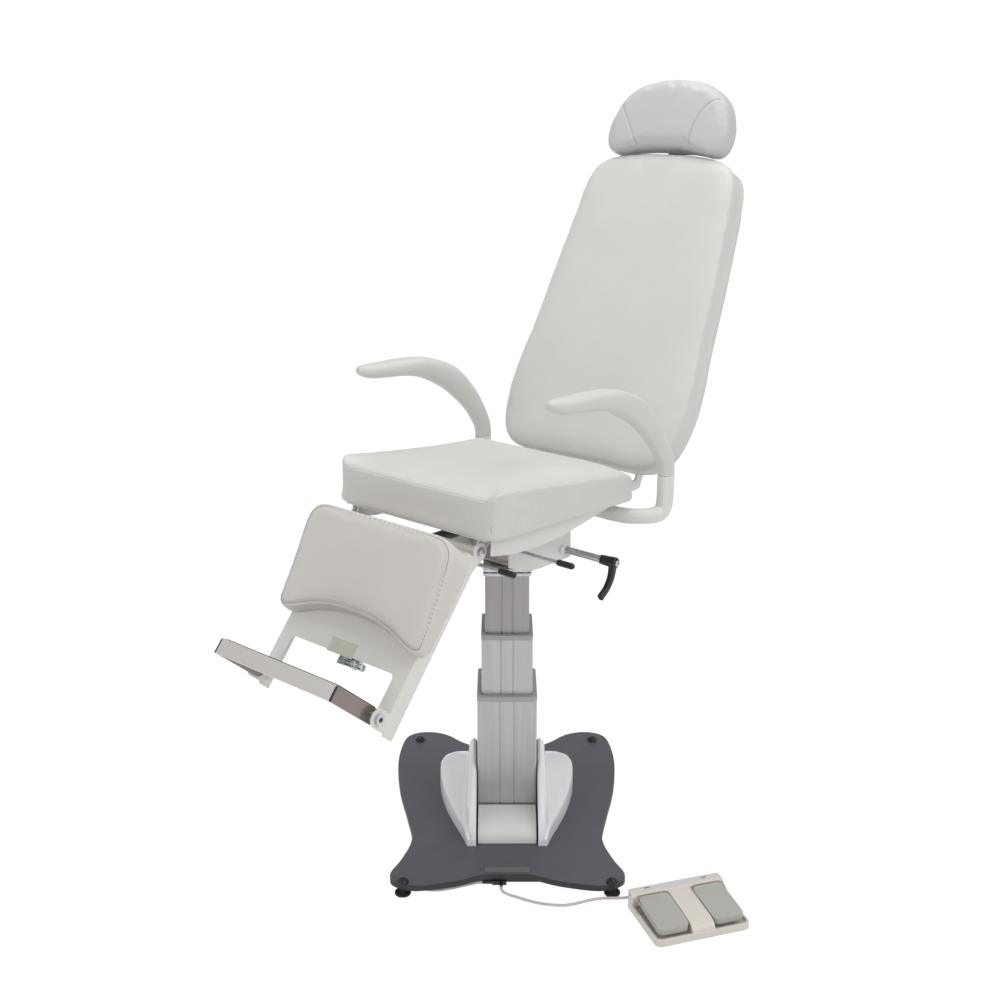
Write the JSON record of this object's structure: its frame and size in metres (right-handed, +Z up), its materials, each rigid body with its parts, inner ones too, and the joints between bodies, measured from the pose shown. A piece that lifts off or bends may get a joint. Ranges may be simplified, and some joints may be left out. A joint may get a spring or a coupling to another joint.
{
  "type": "ear nose and throat chair",
  "caption": "Treatment chair on a telescoping column, with swivelling seat, reclining back, sliding headrest, swinging armrests, raising leg rest and foot switch.",
  "frame": {"origin": "on the floor under the lifting column's axis, at the centre of the four levelling feet", "axes": "+Z up along the column, -Y towards the base plate's front edge with the sockets and the foot switch; the seat faces 41 degrees off -Y, towards -X"},
  "size_m": [1.1852, 1.2822, 1.7715],
  "materials": {
    "base_paint": "satin powder coat",
    "cover_white": "gloss",
    "end_cover_white": "satin",
    "column_aluminium": "satin, brushed along the tube",
    "collar_grey": "satin",
    "dark_metal": "satin",
    "steel": "brushed",
    "zinc": "zinc plated",
    "bronze": "satin",
    "black_rubber": "matt",
    "black_plastic": "satin",
    "white_paint": "gloss powder coat",
    "upholstery": "soft grained, pale grey",
    "arm_foam": "moulded soft skin",
    "board": "moulded board",
    "foot_steel": "polished",
    "switch_shell": "moulded",
    "pedal_grey": "moulded",
    "cord_grey": "satin sheath"
  },
  "bodies": {
    "base": {"base_plate": "base_paint", "levelling_feet": "black_rubber", "foot_caps": "black_plastic", "cover_left": "cover_white", "cover_right": "cover_white", "end_covers": "end_cover_white", "column_outer_tube": "column_aluminium", "outer_collar": "collar_grey", "lift_motor": "dark_metal", "lift_screw": "steel", "socket_panel": "black_plastic", "switch_housing": "switch_shell", "pedal_rod": "steel", "switch_cord": "cord_grey", "mains_cord": "cord_grey", "mains_coil": "cord_grey", "mains_plug": "black_plastic", "cord_reliefs": "black_plastic"},
    "column_mid": {"column_mid_tube": "column_aluminium", "mid_collar": "collar_grey", "mid_screw_tube": "steel"},
    "column_inner": {"column_inner_tube": "column_aluminium", "push_tube": "steel", "column_top_plate": "zinc", "swivel_spindle": "steel"},
    "seat": {"thrust_washer": "bronze", "seat_carrier": "white_paint", "clamp_rod": "steel", "seat_tray": "white_paint", "seat_cushion": "upholstery", "arm_bracket_left": "white_paint", "arm_bracket_right": "white_paint", "hinge_bolts": "zinc", "lever_brackets": "zinc", "back_strut_cylinder": "dark_metal", "leg_strut_cylinder": "dark_metal"},
    "clamp": {"clamp_handle": "black_plastic"},
    "leg_lever": {"leg_lever_rod": "zinc", "leg_lever_grip": "black_plastic"},
    "back_lever": {"back_lever_rod": "zinc", "back_lever_grip": "black_plastic"},
    "backrest": {"back_frame": "white_paint", "back_board": "board", "back_cushion": "upholstery", "headrest_guide": "black_plastic"},
    "headrest": {"headrest_stem": "zinc", "headrest_cushion": "upholstery"},
    "headrest_catch": {"headrest_lever": "black_plastic"},
    "leg_rest": {"leg_frame": "white_paint", "calf_pad": "upholstery", "foot_catch": "zinc", "foot_pivot_bolts": "zinc"},
    "foot_rest": {"foot_plate": "foot_steel", "foot_tread": "black_rubber"},
    "arm_left": {"armrest_left": "arm_foam"},
    "arm_right": {"armrest_right": "arm_foam"},
    "back_strut": {"back_strut_rod": "zinc"},
    "leg_strut": {"leg_strut_rod": "zinc"},
    "pedal_left": {"pedal_up": "pedal_grey"},
    "pedal_right": {"pedal_down": "pedal_grey"}
  },
  "joints": [
    {"name": "column_lift", "type": "slide", "parent": "base", "child": "column_mid", "axis": [0, 0, 1], "range_m": [-0.13, 0]},
    {"name": "column_upper_lift", "type": "slide", "parent": "column_mid", "child": "column_inner", "axis": [0, 0, 1], "range_m": [-0.13, 0]},
    {"name": "seat_swivel", "type": "hinge", "parent": "column_inner", "child": "seat", "pos_m": [0, 0, 0.66], "axis": [0, 0, 1], "continuous": true},
    {"name": "back_recline", "type": "hinge", "parent": "seat", "child": "backrest", "pos_m": [0.13449, 0.15471, 0.79], "axis": [-0.7547, 0.6561, 0], "range_deg": [-10, 60]},
    {"name": "leg_raise", "type": "hinge", "parent": "seat", "child": "leg_rest", "pos_m": [-0.20075, -0.23094, 0.797], "axis": [-0.7547, 0.6561, 0], "range_deg": [-30, 45]},
    {"name": "foot_fold", "type": "hinge", "parent": "leg_rest", "child": "foot_rest", "pos_m": [-0.39706, -0.45677, 0.53375], "axis": [-0.7547, 0.6561, 0], "range_deg": [0, 90]},
    {"name": "headrest_slide", "type": "slide", "parent": "backrest", "child": "headrest", "axis": [0.3019, 0.3473, 0.8878], "range_m": [0, 0.12]},
    {"name": "headrest_catch_pull", "type": "slide", "parent": "headrest", "child": "headrest_catch", "axis": [0.7547, -0.6561, 0], "range_m": [0, 0.006], "stiffness_N_per_m": 600, "springref_m": -0.004},
    {"name": "arm_left_swing", "type": "hinge", "parent": "seat", "child": "arm_left", "pos_m": [0.3671, -0.00906, 0.867], "axis": [0, 0, 1], "range_deg": [0, 90]},
    {"name": "arm_right_swing", "type": "hinge", "parent": "seat", "child": "arm_right", "pos_m": [-0.06007, 0.36227, 0.867], "axis": [0, 0, -1], "range_deg": [0, 90]},
    {"name": "clamp_turn", "type": "hinge", "parent": "seat", "child": "clamp", "pos_m": [0.23617, -0.0728, 0.677], "axis": [0.7547, -0.6561, 0], "range_deg": [-45, 60]},
    {"name": "leg_lever_lift", "type": "hinge", "parent": "seat", "child": "leg_lever", "pos_m": [-0.07771, -0.31803, 0.762], "axis": [-0.6561, -0.7547, 0], "range_deg": [0, 6], "stiffness_Nm_per_rad": 4, "springref_deg": -3.44},
    {"name": "back_lever_lift", "type": "hinge", "parent": "seat", "child": "back_lever", "pos_m": [0.00824, -0.21916, 0.757], "axis": [-0.6561, -0.7547, 0], "range_deg": [0, 5], "stiffness_Nm_per_rad": 6, "springref_deg": -3.44},
    {"name": "back_strut_slide", "type": "slide", "parent": "seat", "child": "back_strut", "axis": [-0.6561, -0.7547, 0], "range_m": [-0.00718, 0.04061]},
    {"name": "leg_strut_slide", "type": "slide", "parent": "seat", "child": "leg_strut", "axis": [-0.6561, -0.7547, 0], "range_m": [-0.02055, 0.03058]},
    {"name": "pedal_left_press", "type": "hinge", "parent": "base", "child": "pedal_left", "pos_m": [0.37379, -0.38643, 0.022], "axis": [0.9511, 0.309, 0], "range_deg": [0, 3.5], "stiffness_Nm_per_rad": 4, "springref_deg": -6.88},
    {"name": "pedal_right_press", "type": "hinge", "parent": "base", "child": "pedal_right", "pos_m": [0.37379, -0.38643, 0.022], "axis": [0.9511, 0.309, 0], "range_deg": [0, 3.5], "stiffness_Nm_per_rad": 4, "springref_deg": -6.88}
  ],
  "couplings": [
    {"joint": "column_upper_lift", "follows": "column_lift", "ratio": 1},
    {"joint": "back_strut_slide", "follows": "back_recline", "m_per_rad": 0.0383},
    {"joint": "leg_strut_slide", "follows": "leg_raise", "m_per_rad": 0.0383}
  ]
}
